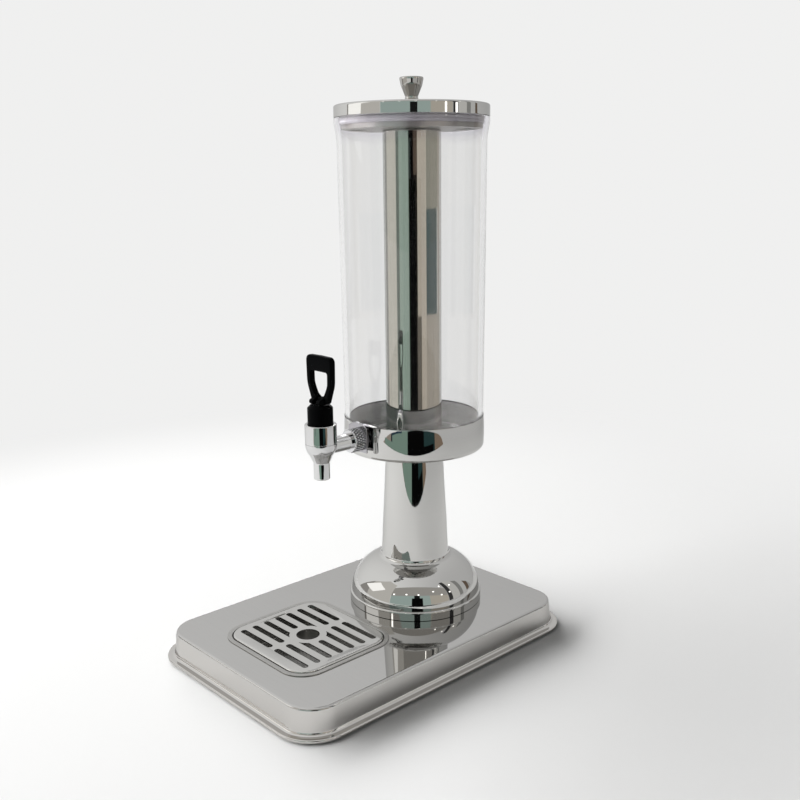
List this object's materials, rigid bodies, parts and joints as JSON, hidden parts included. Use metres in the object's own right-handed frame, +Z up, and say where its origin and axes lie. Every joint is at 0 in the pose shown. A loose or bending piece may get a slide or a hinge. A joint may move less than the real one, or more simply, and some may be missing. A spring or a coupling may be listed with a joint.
{
  "type": "juice dispenser",
  "caption": "Free-standing juice dispenser: clear tank with a steel ice tube on a polished pedestal, lift-off lid, lever tap and a base with a removable drip tray.",
  "frame": {"origin": "middle of the base's footprint on the table", "axes": "+Z up, -Y towards the tap and the drip tray, +X to the right seen from the front"},
  "size_m": [0.224, 0.319, 0.4987],
  "materials": {
    "polished_steel": "mirror polished stainless steel",
    "satin_steel": "plain satin steel",
    "tap_chrome": "bright chrome plating",
    "clear_plastic": "clear moulded polycarbonate",
    "black_plastic": "glossy black moulded plastic",
    "white_plastic": "plain moulded plastic",
    "pale_silicone": "soft translucent silicone",
    "grey_silicone": "soft grey silicone",
    "black_rubber": "matt black rubber"
  },
  "bodies": {
    "stand": {"base_shell": "polished_steel", "bottom_plate": "satin_steel", "feet": "black_rubber", "foot_rivets": "satin_steel", "backing_plate": "satin_steel", "pedestal": "polished_steel", "column_head": "satin_steel", "tie_rod": "satin_steel", "tie_rod_washer": "satin_steel", "tie_rod_nut": "satin_steel", "cup": "polished_steel", "tank_gasket": "pale_silicone", "tank": "clear_plastic", "tube_gasket": "pale_silicone", "tube_plug": "satin_steel", "ice_tube": "polished_steel", "tap_body": "tap_chrome", "saddle_washer": "tap_chrome", "outer_seal": "grey_silicone", "knurled_collar": "tap_chrome", "inner_seal": "pale_silicone", "lock_nut": "white_plastic", "bonnet": "black_plastic", "valve_spring": "satin_steel"},
    "valve": {"valve_stem": "satin_steel", "seat_washer": "black_rubber"},
    "lever": {"lever": "black_plastic", "lever_pin": "satin_steel"},
    "lid": {"lid_cap": "polished_steel", "lid_liner": "polished_steel", "lid_seal": "grey_silicone", "knob": "tap_chrome", "knob_screw": "satin_steel"},
    "tray": {"drip_tray": "polished_steel"},
    "grate": {"drip_grate": "polished_steel"}
  },
  "joints": [
    {"name": "valve_lift", "type": "slide", "parent": "stand", "child": "valve", "axis": [0, 0, 1], "range_m": [0, 0.003], "stiffness_N_per_m": 300, "springref_m": -0.003, "deforming": ["valve_spring"]},
    {"name": "lever_tilt", "type": "hinge", "parent": "valve", "child": "lever", "pos_m": [0, -0.0493, 0.2325], "axis": [1, 0, 0], "range_deg": [0, 45]},
    {"name": "lid_lift", "type": "slide", "parent": "stand", "child": "lid", "axis": [0, 0, 1], "range_m": [0, 0.08]},
    {"name": "tray_lift", "type": "slide", "parent": "stand", "child": "tray", "axis": [0, 0, 1], "range_m": [0, 0.05]},
    {"name": "grate_lift", "type": "slide", "parent": "tray", "child": "grate", "axis": [0, 0, 1], "range_m": [0, 0.04]}
  ],
  "couplings": [
    {"joint": "lever_tilt", "follows": "valve_lift", "rad_per_m": 261.8}
  ]
}
